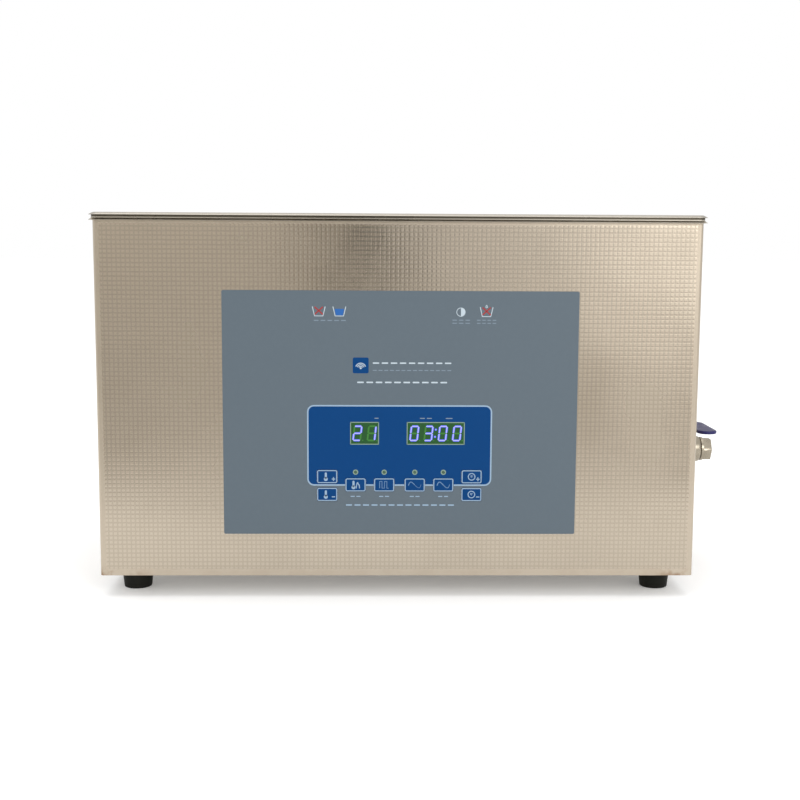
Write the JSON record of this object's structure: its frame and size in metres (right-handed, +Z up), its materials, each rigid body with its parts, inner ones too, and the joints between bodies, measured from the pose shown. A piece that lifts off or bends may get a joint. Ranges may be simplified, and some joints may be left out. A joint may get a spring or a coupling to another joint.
{
  "type": "ultrasonic cleaner",
  "caption": "Bench-top ultrasonic cleaning bath in an embossed steel casing, with a lift-off lid, digital control panel, side carrying handles and a lever drain valve.",
  "frame": {"origin": "on the bench, midway between the outermost points of the whole machine in X and in Y (its feet rest at z = 0)", "axes": "+X to the right as seen from the front, towards the drain valve; +Y from the control panel to the back; +Z up"},
  "size_m": [0.6, 0.3376, 0.3407],
  "materials": {
    "casing_steel": "embossed stainless sheet with a fine square dimple pattern",
    "tank_steel": "smooth satin stainless sheet",
    "screw_steel": "plated steel fasteners",
    "handle_chrome": "polished plated steel",
    "valve_nickel": "nickel-plated brass, satin",
    "panel_grey": "printed polyester face plate, blue-grey with a blue field",
    "key_blue": "printed blue key film with a pale outline",
    "window_green": "dark olive-green tinted window",
    "module_black": "black moulded display body",
    "lamp_resin": "tinted resin lamp",
    "board_green": "glass-fibre board with green solder resist",
    "switch_black": "small moulded components",
    "sink_aluminium": "plain aluminium",
    "piezo_ceramic": "fired ceramic with silvered faces",
    "mass_steel": "turned steel",
    "heater_silicone": "orange silicone heater mat",
    "copper_winding": "ferrite core with lacquered copper winding",
    "foot_rubber": "black rubber",
    "seat_white": "white low-friction plastic",
    "sleeve_blue": "dark blue dipped vinyl",
    "fan_black": "black moulded plastic",
    "inlet_black": "black moulded plastic, fine texture",
    "pin_brass": "plated brass blades",
    "fuse_glass": "glass tube fuses"
  },
  "bodies": {
    "root": {"casing_wrap": "casing_steel", "rear_panel": "casing_steel", "base_plate": "tank_steel", "rubber_feet": "foot_rubber", "foot_screws": "screw_steel", "casing_screws": "screw_steel", "tank": "tank_steel", "control_overlay": "panel_grey", "display_windows": "window_green", "display_modules": "module_black", "status_lamps": "lamp_resin", "control_board": "board_green", "key_switches": "switch_black", "board_standoffs": "screw_steel", "transducer_horns": "sink_aluminium", "piezo_rings": "piezo_ceramic", "transducer_masses": "mass_steel", "transducer_bolts": "screw_steel", "heater_pads": "heater_silicone", "temperature_sensor": "switch_black", "thermal_cutout": "switch_black", "generator_board": "board_green", "heat_sinks": "sink_aluminium", "output_transformer": "copper_winding", "capacitors": "switch_black", "drain_elbow": "valve_nickel", "drain_pipe": "valve_nickel", "bulkhead_nuts": "valve_nickel", "valve_body": "valve_nickel", "valve_outlet": "valve_nickel", "valve_seats": "seat_white", "gland_nut": "valve_nickel", "handle_plates": "handle_chrome", "handle_rivets": "handle_chrome", "fan_frame": "fan_black", "fan_guard": "handle_chrome", "fan_screws": "screw_steel", "mains_inlet": "inlet_black", "inlet_pins": "pin_brass"},
    "lid": {"lid_pan": "tank_steel", "lid_locating_frame": "tank_steel"},
    "drain_lever": {"drain_lever": "screw_steel", "lever_sleeve": "sleeve_blue", "lever_nut": "screw_steel", "valve_stem": "valve_nickel", "valve_ball": "handle_chrome"},
    "left_handle": {"left_bail": "handle_chrome"},
    "right_handle": {"right_bail": "handle_chrome"},
    "fan_rotor": {"fan_rotor": "fan_black"},
    "fuse_drawer": {"fuse_drawer": "inlet_black", "fuses": "fuse_glass"},
    "power_rocker": {"power_rocker": "inlet_black"},
    "key_heating": {"key_heating": "key_blue"},
    "key_pulse": {"key_pulse": "key_blue"},
    "key_half_power": {"key_half_power": "key_blue"},
    "key_full_power": {"key_full_power": "key_blue"},
    "key_warmer": {"key_warmer": "key_blue"},
    "key_cooler": {"key_cooler": "key_blue"},
    "key_longer": {"key_longer": "key_blue"},
    "key_shorter": {"key_shorter": "key_blue"}
  },
  "joints": [
    {"name": "lid_lift", "type": "slide", "parent": "root", "child": "lid", "axis": [0, 0, 1], "range_m": [0, 0.25]},
    {"name": "drain_lever_turn", "type": "hinge", "parent": "root", "child": "drain_lever", "pos_m": [0.2765, 0, 0.1085], "axis": [0, 0, 1], "range_deg": [0, 90]},
    {"name": "left_handle_swing", "type": "hinge", "parent": "root", "child": "left_handle", "pos_m": [-0.294, 0, 0.262], "axis": [0, 1, 0], "range_deg": [0, 90]},
    {"name": "right_handle_swing", "type": "hinge", "parent": "root", "child": "right_handle", "pos_m": [0.252, 0, 0.262], "axis": [0, -1, 0], "range_deg": [0, 90]},
    {"name": "fan_spin", "type": "hinge", "parent": "root", "child": "fan_rotor", "pos_m": [-0.141, 0.1505, 0.076], "axis": [0, 1, 0], "continuous": true},
    {"name": "fuse_drawer_slide", "type": "slide", "parent": "root", "child": "fuse_drawer", "axis": [0, 1, 0], "range_m": [0, 0.018]},
    {"name": "power_rocker_tilt", "type": "hinge", "parent": "root", "child": "power_rocker", "pos_m": [0.129, 0.1605, 0.0985], "axis": [1, 0, 0], "range_deg": [0, 12]},
    {"name": "key_heating_press", "type": "slide", "parent": "root", "child": "key_heating", "axis": [0, 1, 0], "range_m": [0, 0.0004], "stiffness_N_per_m": 800, "springref_m": -0.0005},
    {"name": "key_pulse_press", "type": "slide", "parent": "root", "child": "key_pulse", "axis": [0, 1, 0], "range_m": [0, 0.0004], "stiffness_N_per_m": 800, "springref_m": -0.0005},
    {"name": "key_half_power_press", "type": "slide", "parent": "root", "child": "key_half_power", "axis": [0, 1, 0], "range_m": [0, 0.0004], "stiffness_N_per_m": 800, "springref_m": -0.0005},
    {"name": "key_full_power_press", "type": "slide", "parent": "root", "child": "key_full_power", "axis": [0, 1, 0], "range_m": [0, 0.0004], "stiffness_N_per_m": 800, "springref_m": -0.0005},
    {"name": "key_warmer_press", "type": "slide", "parent": "root", "child": "key_warmer", "axis": [0, 1, 0], "range_m": [0, 0.0004], "stiffness_N_per_m": 800, "springref_m": -0.0005},
    {"name": "key_cooler_press", "type": "slide", "parent": "root", "child": "key_cooler", "axis": [0, 1, 0], "range_m": [0, 0.0004], "stiffness_N_per_m": 800, "springref_m": -0.0005},
    {"name": "key_longer_press", "type": "slide", "parent": "root", "child": "key_longer", "axis": [0, 1, 0], "range_m": [0, 0.0004], "stiffness_N_per_m": 800, "springref_m": -0.0005},
    {"name": "key_shorter_press", "type": "slide", "parent": "root", "child": "key_shorter", "axis": [0, 1, 0], "range_m": [0, 0.0004], "stiffness_N_per_m": 800, "springref_m": -0.0005}
  ]
}
